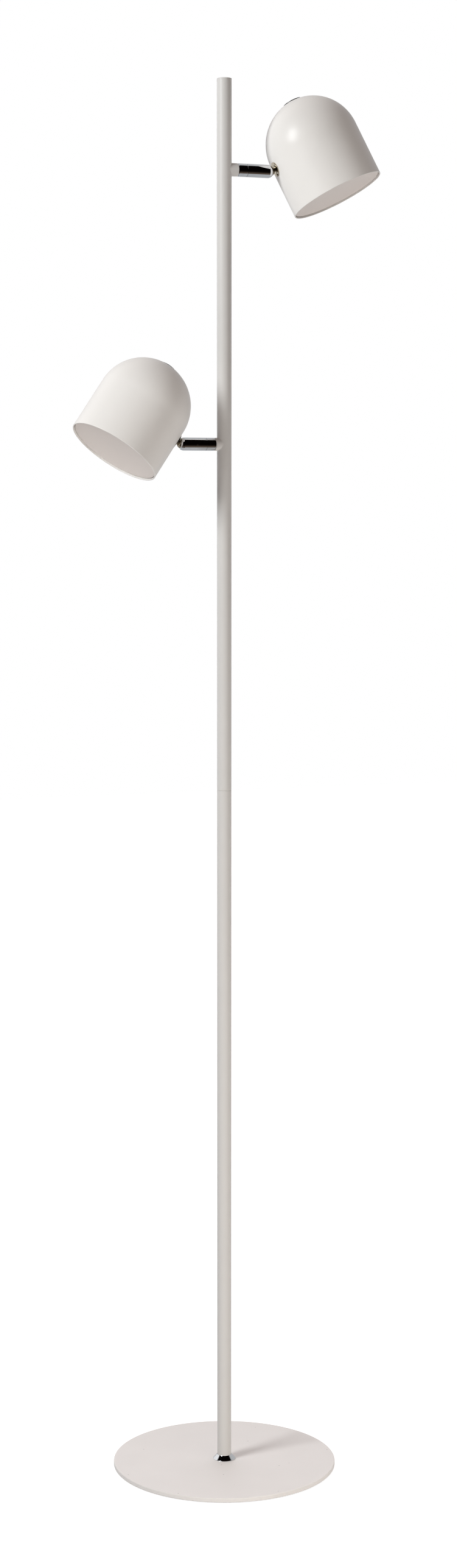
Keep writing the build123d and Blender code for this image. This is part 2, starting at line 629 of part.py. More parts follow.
os.makedirs("parts", exist_ok=True)
for make in FIXED_PIECES:
    save(make.__name__, make())
save("arm_nipples", Compound(children=[place_arm(arm) * arm_nipple() for arm in ARMS.values()]))
for name, arm in ARMS.items():
    save(f"{name}_stub", place_arm(arm) * stub(arm["reach"]))
    save(f"{name}_arm_sleeve", place_arm(arm) * arm_sleeve())
    for make in BARREL_PIECES:
        save(f"{name}_{make.__name__}", place_barrel(arm) * make())
    for make in STUD_PIECES:
        save(f"{name}_{make.__name__}", place_stud(arm) * make())
    for make in HEAD_PIECES:
        save(f"{name}_{make.__name__}", place_head(arm) * make())
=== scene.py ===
import bpy
import json
from math import cos, pi, radians, sin, sqrt
from mathutils import Matrix, Vector

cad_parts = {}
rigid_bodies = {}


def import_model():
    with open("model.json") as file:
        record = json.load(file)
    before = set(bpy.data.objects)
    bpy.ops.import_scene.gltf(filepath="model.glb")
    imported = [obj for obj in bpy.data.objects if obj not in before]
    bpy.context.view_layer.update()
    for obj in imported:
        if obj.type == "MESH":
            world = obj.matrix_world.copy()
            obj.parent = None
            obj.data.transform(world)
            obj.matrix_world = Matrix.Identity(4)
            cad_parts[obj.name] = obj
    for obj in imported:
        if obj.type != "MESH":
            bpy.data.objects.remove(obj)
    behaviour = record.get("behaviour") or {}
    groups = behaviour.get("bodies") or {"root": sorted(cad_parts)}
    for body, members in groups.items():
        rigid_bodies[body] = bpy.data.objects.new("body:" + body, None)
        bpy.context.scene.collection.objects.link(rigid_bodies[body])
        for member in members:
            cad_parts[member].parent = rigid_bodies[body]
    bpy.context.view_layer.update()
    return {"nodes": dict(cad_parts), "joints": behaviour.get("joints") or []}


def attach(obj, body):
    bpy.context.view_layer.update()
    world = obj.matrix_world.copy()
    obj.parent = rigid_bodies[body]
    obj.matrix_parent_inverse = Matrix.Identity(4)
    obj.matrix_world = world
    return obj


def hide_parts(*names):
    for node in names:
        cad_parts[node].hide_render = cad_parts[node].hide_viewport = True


# The lamp's fixed frame, in metres: +Z up, the origin on the floor under the pole, the upper arm
# along +X and the lower arm along -X.
bpy.ops.object.select_all(action="SELECT")
bpy.ops.object.delete()
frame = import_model()


# Camera. It stands to the left of the lamp's front, a little lower than the lower arm, and looks
# slightly down; lens and shift, given in pixels of the picture, frame the whole lamp upright.
CAMERA_TURN = radians(21.0)
CAMERA_DISTANCE = 2.949
CAMERA_HEIGHT = 1.088
CAMERA_PITCH = radians(8.05)
PICTURE_WIDTH = 751
PICTURE_HEIGHT = 2576
FOCAL_LENGTH = 4362
OPTICAL_AXIS = (368.5, 1460)
SENSOR_HEIGHT = 36.0
TO_THE_RIGHT = Vector((cos(CAMERA_TURN), -sin(CAMERA_TURN), 0))
STRAIGHT_AHEAD = Vector((sin(CAMERA_TURN), cos(CAMERA_TURN), 0))

camera_place = Vector((0, 0, CAMERA_HEIGHT)) - STRAIGHT_AHEAD * CAMERA_DISTANCE
bpy.ops.object.camera_add(location=camera_place, rotation=(pi / 2 - CAMERA_PITCH, 0, -CAMERA_TURN))
camera = bpy.context.object
camera.data.sensor_width = SENSOR_HEIGHT
camera.data.lens = FOCAL_LENGTH / PICTURE_HEIGHT * SENSOR_HEIGHT
camera.data.shift_x = (PICTURE_WIDTH / 2 - OPTICAL_AXIS[0]) / PICTURE_HEIGHT
camera.data.shift_y = (OPTICAL_AXIS[1] - PICTURE_HEIGHT / 2) / PICTURE_HEIGHT
bpy.context.scene.camera = camera
bpy.context.scene.view_settings.view_transform = "Standard"


# Studio floor. A white paper sweep under the lamp, which keeps its soft shadow. Polished metal
# sees the sweep end a little in front of the base, where a dark, unevenly lit carpet begins.
FLOOR_SIZE = 14.0
PAPER_WHITE = (0.68, 0.68, 0.68, 1)
PAPER_IN_SHADOW = 0.84
PAPER_LIGHT_SHARE = (0.34, 0.335, 0.33, 1)
PAPER_FRONT_EDGE = (-0.46, -0.28)
PAPER_IN_METAL = (0.46, 0.475, 0.49, 1)
CARPET_FAR = (0.006, 0.004, 0.003, 1)
CARPET_NEAR = (0.150, 0.112, 0.085, 1)
CARPET_GLOW = (-1.9, -0.35)
CARPET_MOTTLE = {"Scale": 11.0, "Detail": 3.0}
CARPET_PATCHES = {"From Min": 0.25, "From Max": 0.75, "To Min": 0.35, "To Max": 1.35}


def blank_tree(owner, output_type):
    """Clears a material's or world's nodes and returns its tree with a new output node."""
    owner.use_nodes = True
    owner.node_tree.nodes.clear()
    return owner.node_tree, owner.node_tree.nodes.new(output_type)


def add_node(tree, kind, feeds=(), **settings):
    """Adds a shader node and returns its outputs. Each socket in feeds gets a constant or the
    output that is linked to it."""
    node = tree.nodes.new(f"ShaderNode{kind}")
    for setting, value in settings.items():
        setattr(node, setting, value)
    for socket, feed in dict(feeds).items():
        if isinstance(feed, bpy.types.NodeSocket):
            tree.links.new(feed, node.inputs[socket])
        else:
            node.inputs[socket].default_value = feed
    return node.outputs


def maths(tree, operation, *values):
    """The result of one operation on two or three values."""
    return add_node(tree, "Math", enumerate(values), operation=operation)[0]


def ramp(tree, value, span, **settings):
    """Goes from 0 to 1 while a value goes from the start to the end of a span."""
    feeds = {"Value": value, "From Min": span[0], "From Max": span[1]}
    return add_node(tree, "MapRange", feeds, **settings)["Result"]


def distance_along(tree, place, direction):
    """How far a place lies in a direction."""
    return add_node(tree, "VectorMath", {0: place, 1: direction}, operation="DOT_PRODUCT")["Value"]


def blend(tree, share, first, second):
    """The first colour where the share is 0, the second where it is 1."""
    return add_node(tree, "Mix", {"Factor": share, "A": first, "B": second}, data_type="RGBA")["Result"]


paper = bpy.data.materials.new("paper_sweep")
tree, output = blank_tree(paper, "ShaderNodeOutputMaterial")
ray = add_node(tree, "LightPath")
spot = add_node(tree, "TexCoord")["Object"]
ahead = distance_along(tree, spot, STRAIGHT_AHEAD)
lit_paper = add_node(tree, "BsdfDiffuse", {"Color": PAPER_WHITE})["BSDF"]
white_paper = add_node(tree, "Emission", {"Strength": PAPER_IN_SHADOW})["Emission"]
shadow_catcher = add_node(tree, "BsdfDiffuse", {"Color": PAPER_LIGHT_SHARE})["BSDF"]
seen_paper = add_node(tree, "AddShader", {0: white_paper, 1: shadow_catcher})["Shader"]
seen_straight = maths(tree, "MAXIMUM", ray["Is Camera Ray"], ray["Is Transmission Ray"])
straight = add_node(tree, "MixShader", {0: seen_straight, 1: lit_paper, 2: seen_paper})["Shader"]
mottle = add_node(tree, "TexNoise", {"Vector": spot, **CARPET_MOTTLE})["Fac"]
patches = add_node(tree, "MapRange", {"Value": mottle, **CARPET_PATCHES})["Result"]
mottled_glow = maths(tree, "MULTIPLY", ramp(tree, ahead, CARPET_GLOW), patches)
carpet = blend(tree, mottled_glow, CARPET_FAR, CARPET_NEAR)
paper_edge = ramp(tree, ahead, PAPER_FRONT_EDGE, interpolation_type="SMOOTHSTEP")
floor_in_metal = blend(tree, paper_edge, carpet, PAPER_IN_METAL)
mirrored_floor = add_node(tree, "Emission", {"Color": floor_in_metal})["Emission"]
by_metal = add_node(tree, "MixShader", {0: ray["Is Glossy Ray"], 1: straight, 2: mirrored_floor})
tree.links.new(by_metal["Shader"], output.inputs["Surface"])

bpy.ops.object.select_all(action="DESELECT")
bpy.ops.mesh.primitive_plane_add(size=FLOOR_SIZE)
floor = bpy.context.object
floor.name = "studio_floor"
floor.data.materials.append(paper)


# Studio room. Polished metal sees it grey behind the lamp, white on the left, pale overhead and
# dark on the camera's side. Matt surfaces get a warm fill from overhead and a cool one from the
# wall behind the lamp.
OVERHEAD_FILL = ((1.0, 0.85, 0.78, 1), 0.74)
REAR_FILL = ((0.94, 0.94, 1.0, 1), 2.25)
FILL_FALLOFF = 2.0
ROOM_SPLIT = (0.0, 0.14)
BRIGHT_ROOM = (0.52, 0.53, 0.535, 1)
LEFT_WALL = (0.95, 0.96, 0.97, 1)
LEFT_WALL_EDGE = (0.40, 0.62)
OVERHEAD_EDGE = (0.93, 0.97)
OVERHEAD_COLOUR = (0.68, 0.71, 0.75, 1)
DARK_ROOM = (0.0015, 0.0008, 0.0008, 1)
PLAIN_WHITE = (1.0, 1.0, 1.0, 1)

room = bpy.data.worlds.new("studio_room")
bpy.context.scene.world = room
tree, output = blank_tree(room, "ShaderNodeOutputWorld")
ray = add_node(tree, "LightPath")
way = add_node(tree, "TexCoord")["Generated"]
ahead = distance_along(tree, way, STRAIGHT_AHEAD)
leftward = distance_along(tree, way, -TO_THE_RIGHT)
height = add_node(tree, "SeparateXYZ", {0: way})["Z"]
far_side = blend(tree, ramp(tree, leftward, LEFT_WALL_EDGE), BRIGHT_ROOM, LEFT_WALL)
walls = blend(tree, ramp(tree, ahead, ROOM_SPLIT), DARK_ROOM, far_side)
room_in_metal = blend(tree, ramp(tree, height, OVERHEAD_EDGE), walls, OVERHEAD_COLOUR)
mirrored_room = add_node(tree, "Background", {"Color": room_in_metal})["Background"]
fills = []
for direction, (colour, strength) in ((height, OVERHEAD_FILL), (ahead, REAR_FILL)):
    towards = maths(tree, "MAXIMUM", direction, 0.0)
    falloff = maths(tree, "POWER", towards, FILL_FALLOFF)
    scaled = maths(tree, "MULTIPLY", falloff, strength)
    fills.append(add_node(tree, "Background", {"Color": colour, "Strength": scaled})["Background"])
fill = add_node(tree, "AddShader", enumerate(fills))["Shader"]
by_metal = add_node(tree, "MixShader", {0: ray["Is Glossy Ray"], 1: fill, 2: mirrored_room})["Shader"]
seen_straight = maths(tree, "MAXIMUM", ray["Is Camera Ray"], ray["Is Transmission Ray"])
plain_white = add_node(tree, "Background", {"Color": PLAIN_WHITE})["Background"]
by_camera = add_node(tree, "MixShader", {0: seen_straight, 1: by_metal, 2: plain_white})["Shader"]
tree.links.new(by_camera, output.inputs["Surface"])


# Soft boxes. The key stands high on the left, in front of the lamp. A weak warm one, low in front
# and on the right, lifts the foot of the pole and is kept out of the polished metal.
def soft_box(name, place, aim, size, power, colour, in_gloss):
    """Rectangular lamp; its place and aim are (to the right, straight ahead, up) from the floor."""
    stand, target = (TO_THE_RIGHT * point[0] + STRAIGHT_AHEAD * point[1] + Vector((0, 0, point[2]))
                     for point in (place, aim))
    bpy.ops.object.light_add(type="AREA", location=stand)
    box = bpy.context.object
    box.name = name
    box.data.shape = "RECTANGLE"
    box.data.size, box.data.size_y = size
    box.data.energy = power
    box.data.color = colour
    box.rotation_euler = (target - stand).to_track_quat("-Z", "Y").to_euler()
    box.visible_camera = False
    box.visible_glossy = in_gloss


soft_box("key_box", place=(-1.71, -1.30, 2.14), aim=(0, 0, 1.25), size=(0.75, 0.95), power=50.0,
         colour=(0.96, 0.985, 1.0), in_gloss=True)
soft_box("low_box", place=(0.8, -1.15, 0.15), aim=(0, 0, 0.3), size=(1.4, 0.25), power=12.0,
         colour=(1.0, 0.96, 0.91), in_gloss=False)


# Base plate. A 5 mm steel disc, its edge rounded, powder coated with a fine grain. A recess
# underneath takes the washer and the nut that hold the pole.
MM = 0.001
PLATE_PAINT = {"Colour": (0.720, 0.700, 0.678, 1), "Grain": 900.0, "Roughness": 0.56, "Mottle": 0.05,
               "Specks": 0.5}
PAINT_GLOSS = 0.22
PAINT_GRAIN = {"Detail": 2.0, "Roughness": 0.6}
PAINT_MOTTLE = {"Scale": 26.0, "Detail": 4.0}
SPECK_SPACING = {"Scale": 55.0}
SPECK_EDGE = (0.045, 0.020)
NOISE_MIDDLE = 0.5
SHEEN_SWING = 0.08
PLATE_TOP = 5.8
PLATE_UNDERSIDE = 0.8
PLATE_RADIUS = 127.5
PLATE_EDGE_ROUND = 0.9
PLATE_LOWER_BREAK = 0.5
PLATE_BORE_RADIUS = 5.1
PLATE_RINGS = (60, 120)
RECESS_RADIUS = 15.0
RECESS_TOP = 4.2
MERGE_DISTANCE = 1e-6
SMOOTH_UP_TO = radians(30)


def blank_skin(name, amounts):
    """New node group that takes a colour and some amounts, and gives a skin's colour, roughness and
    height. Returns it with what it is given and what it has to make."""
    group = bpy.data.node_groups.new(name, "ShaderNodeTree")
    group.interface.new_socket("Colour", in_out="INPUT", socket_type="NodeSocketColor")
    for label in amounts:
        group.interface.new_socket(label, in_out="INPUT", socket_type="NodeSocketFloat")
    group.interface.new_socket("Colour", in_out="OUTPUT", socket_type="NodeSocketColor")
    for label in ("Roughness", "Height"):
        group.interface.new_socket(label, in_out="OUTPUT", socket_type="NodeSocketFloat")
    given = group.nodes.new("NodeGroupInput").outputs
    made = group.nodes.new("NodeGroupOutput").inputs
    return group, given, made


def paint_skin_group():
    """Baked paint: its grain, a slight mottle, and a few dust specks caught in it."""
    group, given, made = blank_skin("paint_skin", ("Grain", "Roughness", "Mottle", "Specks"))
    place = add_node(group, "TexCoord")["Object"]
    grain = add_node(group, "TexNoise", {"Vector": place, "Scale": given["Grain"], **PAINT_GRAIN})["Fac"]
    cloud = add_node(group, "TexNoise", {"Vector": place, **PAINT_MOTTLE})["Fac"]
    swing = maths(group, "SUBTRACT", cloud, NOISE_MIDDLE)
    shade = maths(group, "MULTIPLY_ADD", swing, given["Mottle"], 1.0)
    cells = add_node(group, "TexVoronoi", {"Vector": place, **SPECK_SPACING})["Distance"]
    speck_depth = maths(group, "MULTIPLY", ramp(group, cells, SPECK_EDGE), given["Specks"])
    kept_light = maths(group, "SUBTRACT", shade, speck_depth)
    tinted = add_node(group, "VectorMath", {0: given["Colour"], "Scale": kept_light}, operation="SCALE")
    sheen = maths(group, "MULTIPLY_ADD", swing, SHEEN_SWING, given["Roughness"])
    group.links.new(tinted["Vector"], made["Colour"])
    group.links.new(sheen, made["Roughness"])
    group.links.new(grain, made["Height"])
    return group


paint_skin = paint_skin_group()


def finish_of(name, group, look, relief, **plain):
    """Material whose colour, roughness and relief (in mm) come from a group, the rest plain."""
    material = bpy.data.materials.new(name)
    tree, output = blank_tree(material, "ShaderNodeOutputMaterial")
    skin = add_node(tree, "Group", look, node_tree=group)
    bump = add_node(tree, "Bump", {"Height": skin["Height"], "Distance": relief * MM})["Normal"]
    feeds = {"Base Color": skin["Colour"], "Roughness": skin["Roughness"], "Normal": bump}
    for label, value in plain.items():
        feeds[label.replace("_", " ")] = value
    surface = add_node(tree, "BsdfPrincipled", feeds)["BSDF"]
    tree.links.new(surface, output.inputs["Surface"])
    return material


def turn(name, profile, segments=96):
    """Turns a piece on the Z axis: a circle drawn out ring by ring through (radius, height) points
    in mm. A profile that ends where it began closes on itself, any other gets flat ends."""
    bpy.ops.object.select_all(action="DESELECT")
    radius, height = profile[0]
    bpy.ops.mesh.primitive_circle_add(vertices=segments, radius=radius * MM)
    piece = bpy.context.object
    piece.name = name
    bpy.ops.object.mode_set(mode="EDIT")
    bpy.ops.mesh.select_all(action="SELECT")
    bpy.ops.transform.translate(value=(0, 0, height * MM))
    for next_radius, next_height in profile[1:]:
        rise = (0, 0, (next_height - height) * MM)
        bpy.ops.mesh.extrude_region_move(TRANSFORM_OT_translate={"value": rise})
        growth = next_radius / radius
        bpy.ops.transform.resize(value=(growth, growth, 1), center_override=(0, 0, 0))
        radius, height = next_radius, next_height
    bpy.ops.mesh.select_all(action="SELECT")
    bpy.ops.mesh.remove_doubles(threshold=MERGE_DISTANCE)
    bpy.ops.mesh.fill_holes(sides=0)
    bpy.ops.mesh.select_all(action="SELECT")
    bpy.ops.mesh.normals_make_consistent(inside=False)
    bpy.ops.object.mode_set(mode="OBJECT")
    return piece


def arc(centre, size, start, end, steps=5):
    """Points of a rounded corner in a profile; zero degrees points outwards, ninety up."""
    angles = [radians(start + (end - start) * step / steps) for step in range(steps + 1)]
    return [(centre[0] + size * cos(angle), centre[1] + size * sin(angle)) for angle in angles]


def fit(piece, body, finish, nodes, place=Matrix.Identity(4)):
    """Puts a piece in its place, smooths its shading and fixes it to a body, instead of CAD nodes."""
    bpy.ops.object.select_all(action="DESELECT")
    bpy.context.view_layer.objects.active = piece
    piece.select_set(True)
    piece.matrix_world = place
    bpy.ops.object.transform_apply(location=True, rotation=True, scale=True)
    bpy.ops.object.shade_smooth_by_angle(angle=SMOOTH_UP_TO)
    even = piece.modifiers.new("even_shine", "WEIGHTED_NORMAL")
    even.keep_sharp = True
    bpy.ops.object.modifier_apply(modifier=even.name)
    piece.data.materials.clear()
    piece.data.materials.append(finish)
    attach(piece, body)
    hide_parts(*nodes)


plate_paint = finish_of("plate_paint", paint_skin, PLATE_PAINT, relief=0.05,
                        Specular_IOR_Level=PAINT_GLOSS)
disc = turn("base_disc", [
    (PLATE_BORE_RADIUS, PLATE_TOP), *[(ring, PLATE_TOP) for ring in PLATE_RINGS],
    *arc((PLATE_RADIUS - PLATE_EDGE_ROUND, PLATE_TOP - PLATE_EDGE_ROUND), PLATE_EDGE_ROUND, 90, 0),
    (PLATE_RADIUS, PLATE_UNDERSIDE + PLATE_LOWER_BREAK),
    (PLATE_RADIUS - PLATE_LOWER_BREAK, PLATE_UNDERSIDE), (RECESS_RADIUS, PLATE_UNDERSIDE),
    (RECESS_RADIUS, RECESS_TOP), (PLATE_BORE_RADIUS, RECESS_TOP), (PLATE_BORE_RADIUS, PLATE_TOP),
], segments=256)
fit(disc, "stand", plate_paint, ["base_plate"])


# Base pad. A thin sheet of closed-cell foam glued under the plate; it covers the recess and the
# nut, and keeps the steel off the floor.
PAD_RADIUS = 122.5
PAD_ROUND = 0.25
CENTRE_RING = 2.0
PAD_FOAM = {"Colour": (0.045, 0.044, 0.043, 1), "Grain": 1400.0, "Roughness": 0.9, "Mottle": 0.35,
            "Specks": 0.0}

pad_foam = finish_of("pad_foam", paint_skin, PAD_FOAM, relief=0.25)
pad = turn("foam_pad", [
    (CENTRE_RING, 0), *arc((PAD_RADIUS - PAD_ROUND, PAD_ROUND), PAD_ROUND, -90, 0, 3),
    (PAD_RADIUS, PLATE_UNDERSIDE), (CENTRE_RING, PLATE_UNDERSIDE),
], segments=192)
fit(pad, "stand", pad_foam, ["base_pad"])


# Zinc-plated hardware. Washer and nut under the plate, the hollow threaded tubes that tie base,
# pole and arms together, the bushes pressed into the pole, the joints' springs and set screws, and
# the fastenings inside the heads.
ZINC = {"Colour": (0.60, 0.60, 0.585, 1), "Smear": 0.22, "Roughness": 0.30}
METAL_SMEARS = {"Scale": 120.0, "Detail": 5.0, "Distortion": 1.2}
SMEAR_EDGE = (0.45, 0.75)
SMEAR_TINT = -0.07
METAL_RUBBING = {"Scale": 1500.0, "Detail": 2.0}
ZINC_NODES = ["foot_washer", "foot_nut", "foot_nipple", "pole_inserts", "pole_nipple", "arm_nipples"]
HEAD_ZINC_NODES = ["stud_nut", "bracket", "bracket_screws", "touch_nut", "seat_springs", "grub_screw"]
SIDES = ("upper", "lower")


def metal_skin_group():
    """Plated or cast metal: faint rubbing marks and smears that dull it here and there."""
    group, given, made = blank_skin("metal_skin", ("Smear", "Roughness"))
    place = add_node(group, "TexCoord")["Object"]
    smears = add_node(group, "TexNoise", {"Vector": place, **METAL_SMEARS})["Fac"]
    patch = ramp(group, smears, SMEAR_EDGE)
    kept_light = maths(group, "MULTIPLY_ADD", patch, SMEAR_TINT, 1.0)
    tinted = add_node(group, "VectorMath", {0: given["Colour"], "Scale": kept_light}, operation="SCALE")
    dull = maths(group, "MULTIPLY_ADD", patch, given["Smear"], given["Roughness"])
    marks = add_node(group, "TexNoise", {"Vector": place, **METAL_RUBBING})["Fac"]
    group.links.new(tinted["Vector"], made["Colour"])
    group.links.new(dull, made["Roughness"])
    group.links.new(marks, made["Height"])
    return group


metal_skin = metal_skin_group()


def clad(nodes, finish):
    """Gives CAD nodes that keep their own shape their finish."""
    for node in nodes:
        frame["nodes"][node].data.materials.clear()
        frame["nodes"][node].data.materials.append(finish)


def of_both_heads(names):
    """The nodes of both sides that have one of these names."""
    return [f"{side}_{name}" for side in SIDES for name in names]


zinc_steel = finish_of("zinc_steel", metal_skin, ZINC, relief=0.004, Metallic=1.0)
clad(ZINC_NODES + of_both_heads(HEAD_ZINC_NODES), zinc_steel)


# Foot collar. A turned brass cone, polished and chrome plated; the pole stands in its socket, and
# a narrow upright land runs round its foot.
CHROME = {"Colour": (0.78, 0.785, 0.80, 1), "Smear": 0.05, "Roughness": 0.035}
COLLAR_RADIUS = 13.0
COLLAR_LAND_TOP = 6.6
COLLAR_TOP = 11.4
COLLAR_TOP_RADIUS = 8.5
COLLAR_SLOPE_RADIUS = 8.8
COLLAR_SLOPE_DROP = 0.4
COLLAR_SLOPE_TILT = 48
COLLAR_SOCKET_RADIUS = 8.02
POLE_FOOT = 8.8
FOOT_BORE_RADIUS = 5.0
COLLAR_ROUND = 0.22

chrome = finish_of("chrome", metal_skin, CHROME, relief=0.0012, Metallic=1.0)
collar = turn("chrome_collar", [
    (FOOT_BORE_RADIUS, PLATE_TOP), (COLLAR_RADIUS, PLATE_TOP),
    *arc((COLLAR_RADIUS - COLLAR_ROUND, COLLAR_LAND_TOP - COLLAR_ROUND), COLLAR_ROUND, 0,
         COLLAR_SLOPE_TILT, 4),
    (COLLAR_SLOPE_RADIUS, COLLAR_TOP - COLLAR_SLOPE_DROP), (COLLAR_TOP_RADIUS, COLLAR_TOP),
    (COLLAR_SOCKET_RADIUS, COLLAR_TOP), (COLLAR_SOCKET_RADIUS, POLE_FOOT),
    (FOOT_BORE_RADIUS, POLE_FOOT), (FOOT_BORE_RADIUS, PLATE_TOP),
], segments=160)
fit(collar, "stand", chrome, ["foot_collar"])


# Pole. Two drawn steel tubes, 16 mm across with a 1 mm wall, joined end to end by a hidden
# threaded tube, so that a hairline V shows between their broken edges. Satin paint all over,
# in a darker copy of the shades' paint: painted shade, so that the thin pole shows darker than
# the heads.
SHADED_SATIN_PAINT = {"Colour": (0.570, 0.560, 0.540, 1), "Grain": 340.0, "Roughness": 0.36, "Mottle": 0.025,
               "Specks": 0.0}
POLE_RADIUS = 8.0
POLE_BORE_RADIUS = 7.0
SEAM_HEIGHT = 782.0
SEAM_BREAK = 0.35
POLE_END_BREAK = 0.1
POLE_TOP = 1549.4
CORD_INLET_HEIGHT = 38.0
INLET_HOLE_RADIUS = 3.6
WIRE_HOLE_RADIUS = 4.2
THROUGH_POLE_WALL = (2, 12)
POLE_BANDS = 8
DRILL_SIDES = 48
LATHE_TO_ARM = Matrix.Rotation(pi / 2, 4, "Y")
LATHE_TO_BACK = Matrix.Rotation(pi / 2, 4, "Z") @ LATHE_TO_ARM


def drill(piece, radius, start, end, place):
    """Bores a round hole through a piece, along the place's Z from start to end, in mm."""
    bpy.ops.object.select_all(action="DESELECT")
    bpy.ops.mesh.primitive_cylinder_add(vertices=DRILL_SIDES, radius=radius * MM, depth=(end - start) * MM)
    bit = bpy.context.object
    bit.matrix_world = place @ Matrix.Translation((0, 0, (start + end) / 2 * MM))
    bore = piece.modifiers.new("bore", "BOOLEAN")
    bore.operation = "DIFFERENCE"
    bore.object = bit
    bpy.context.view_layer.objects.active = piece
    bpy.ops.object.modifier_apply(modifier=bore.name)
    bpy.data.objects.remove(bit)


def pole_tube(name, bottom, top, foot_break, head_break):
    """Tube with the outer corners of its two ends broken by the given amounts."""
    bands = [bottom + (top - bottom) * band / POLE_BANDS for band in range(1, POLE_BANDS)]
    return turn(name, [
        (POLE_BORE_RADIUS, bottom), (POLE_RADIUS - foot_break, bottom),
        (POLE_RADIUS, bottom + foot_break), *[(POLE_RADIUS, band) for band in bands],
        (POLE_RADIUS, top - head_break), (POLE_RADIUS - head_break, top),
        (POLE_BORE_RADIUS, top), (POLE_BORE_RADIUS, bottom),
    ], segments=128)


# Painted shade: the pole, its cap and the stubs share this darkened copy of the shades' paint.
shaded_satin_paint = finish_of("shaded_satin_paint", paint_skin, SHADED_SATIN_PAINT, relief=0.012,
                        Specular_IOR_Level=PAINT_GLOSS)
lower_tube = pole_tube("lower_tube", POLE_FOOT, SEAM_HEIGHT, POLE_END_BREAK, SEAM_BREAK)
cord_inlet = Matrix.Translation((0, 0, CORD_INLET_HEIGHT * MM)) @ LATHE_TO_BACK
drill(lower_tube, INLET_HOLE_RADIUS, *THROUGH_POLE_WALL, cord_inlet)
fit(lower_tube, "stand", shaded_satin_paint, ["pole_lower"])
upper_tube = pole_tube("upper_tube", SEAM_HEIGHT, POLE_TOP, SEAM_BREAK, POLE_END_BREAK)
for joint in frame["joints"]:
    if joint["name"].endswith("arm_swivel"):
        arm_height = Matrix.Translation((0, 0, joint["pos_m"][2]))
        way_out = Matrix.Rotation(0 if joint["axis"][0] > 0 else pi, 4, "Z")
        drill(upper_tube, WIRE_HOLE_RADIUS, *THROUGH_POLE_WALL, arm_height @ way_out @ LATHE_TO_ARM)
fit(upper_tube, "stand", shaded_satin_paint, ["pole_upper"])


# Pole cap. A pressed lid with a rounded edge, painted like the pole. Its skirt plugs into the tube
# and its rim sits on the tube's end.
CAP_TOP = 1551.0
CAP_ROUND = 0.4
CAP_RIM_BREAK = 0.08
CAP_SKIRT_RADIUS = 5.6
CAP_SKIRT_FOOT = 1539.4

cap = turn("pole_lid", [
    (CENTRE_RING, CAP_TOP), *arc((POLE_RADIUS - CAP_ROUND, CAP_TOP - CAP_ROUND), CAP_ROUND, 90, 0),
    (POLE_RADIUS, POLE_TOP + CAP_RIM_BREAK), (POLE_RADIUS - CAP_RIM_BREAK, POLE_TOP),
    (POLE_BORE_RADIUS, POLE_TOP),
    (POLE_BORE_RADIUS, CAP_SKIRT_FOOT), (CAP_SKIRT_RADIUS, CAP_SKIRT_FOOT),
    (CAP_SKIRT_RADIUS, POLE_TOP), (CENTRE_RING, POLE_TOP),
], segments=128)
fit(cap, "stand", shaded_satin_paint, ["pole_cap"])


# Cord inlet. A moulded bush pressed into the back of the pole, its lip shaped to the tube. The
# flexible lead inside the pole runs from just above it up to the upper arm.
BLACK_PLASTIC = {"Colour": (0.020, 0.020, 0.021, 1), "Grain": 700.0, "Roughness": 0.42, "Mottle": 0.2,
                 "Specks": 0.0}
LEAD_SHEATH = {"Colour": (0.70, 0.69, 0.66, 1), "Grain": 500.0, "Roughness": 0.55, "Mottle": 0.08,
               "Specks": 0.0}
BUSH_BORE_RADIUS = 2.7
BUSH_INNER_END = 5.5
LIP_RADIUS = 5.0
LIP_FACE = 9.5
LIP_ROUND = 0.6
MOUTH_ROUND = 0.4
SEAT_REACH = 0.1


def seat_on_tube(piece, tube_at, tube_radius, low, high):
    """Bends what lies between two heights of a turned piece to a tube that crosses its axis."""
    for vertex in piece.data.vertices:
        across = vertex.co.y / MM
        if low * MM < vertex.co.z < high * MM:
            side = 1 if vertex.co.z > tube_at * MM else -1
            vertex.co.z += side * (sqrt(tube_radius**2 - across**2) - tube_radius) * MM


black_plastic = finish_of("black_plastic", paint_skin, BLACK_PLASTIC, relief=0.02)
lead_sheath = finish_of("lead_sheath", paint_skin, LEAD_SHEATH, relief=0.02)
bush = turn("inlet_bush", [
    (BUSH_BORE_RADIUS, BUSH_INNER_END), (INLET_HOLE_RADIUS, BUSH_INNER_END),
    (INLET_HOLE_RADIUS, POLE_RADIUS), (LIP_RADIUS, POLE_RADIUS),
    *arc((LIP_RADIUS - LIP_ROUND, LIP_FACE - LIP_ROUND), LIP_ROUND, 0, 90, 4),
    *arc((BUSH_BORE_RADIUS + MOUTH_ROUND, LIP_FACE - MOUTH_ROUND), MOUTH_ROUND, 90, 180, 4),
    (BUSH_BORE_RADIUS, BUSH_INNER_END),
], segments=64)
seat_on_tube(bush, 0, POLE_RADIUS, POLE_RADIUS - SEAT_REACH, POLE_RADIUS + SEAT_REACH)
fit(bush, "stand", black_plastic, ["cord_grommet"], cord_inlet)
clad(["pole_lead", "upper_head_leads", "lower_head_leads"], lead_sheath)


# Arms. Each arm's places come from its three joints: it lies along the swivel's axis, its ball is
# where the tilt is, and the head stands square on the stud, turned about it.
BALL_AT = 38.9
STUD_TO_HEAD_AXIS = 58.1
STUD_HEIGHT = 52.8


def axes(origin, along, across):
    """Place at an origin whose X runs along one direction and whose Y runs across it."""
    place = Matrix((along, across, along.cross(across))).transposed().to_4x4()
    place.translation = origin
    return place


